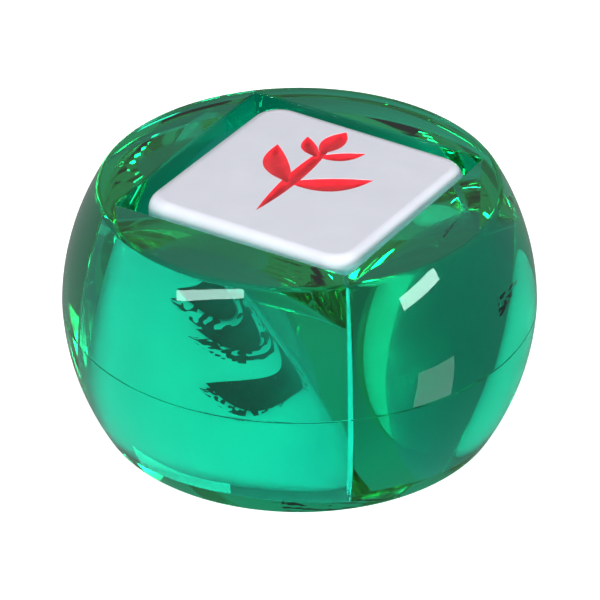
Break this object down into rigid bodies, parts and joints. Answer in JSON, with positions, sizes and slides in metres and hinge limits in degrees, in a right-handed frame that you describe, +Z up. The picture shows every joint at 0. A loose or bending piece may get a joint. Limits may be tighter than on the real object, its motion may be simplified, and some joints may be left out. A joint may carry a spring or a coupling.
{
  "type": "indicator die in a clear holder",
  "caption": "Loose white rounded die with engraved red ornaments, lying in the square well of a clear green ball-shaped holder cut flat at top and bottom.",
  "frame": {"origin": "centre of the flat underside", "axes": "+Z up through the mouth of the well; X and Y along the sides of the square well, with -Y to its front wall; the ornament on top points along +Y"},
  "size_m": [0.044, 0.044, 0.0238],
  "materials": {
    "clear_green_plastic": "polished clear green",
    "white_plastic": "satin white",
    "red_enamel": "satin red"
  },
  "bodies": {
    "holder": {"holder_upper_shell": "clear_green_plastic", "holder_lower_shell": "clear_green_plastic"},
    "die": {"die_block": "white_plastic", "mark_top": "red_enamel", "mark_bottom": "red_enamel", "mark_front": "red_enamel", "mark_right": "red_enamel", "mark_back": "red_enamel", "mark_left": "red_enamel"}
  },
  "joints": [
    {"name": "die_lift", "type": "slide", "parent": "holder", "child": "die", "axis": [0, 0, 1], "range_m": [0, 0.03]}
  ]
}
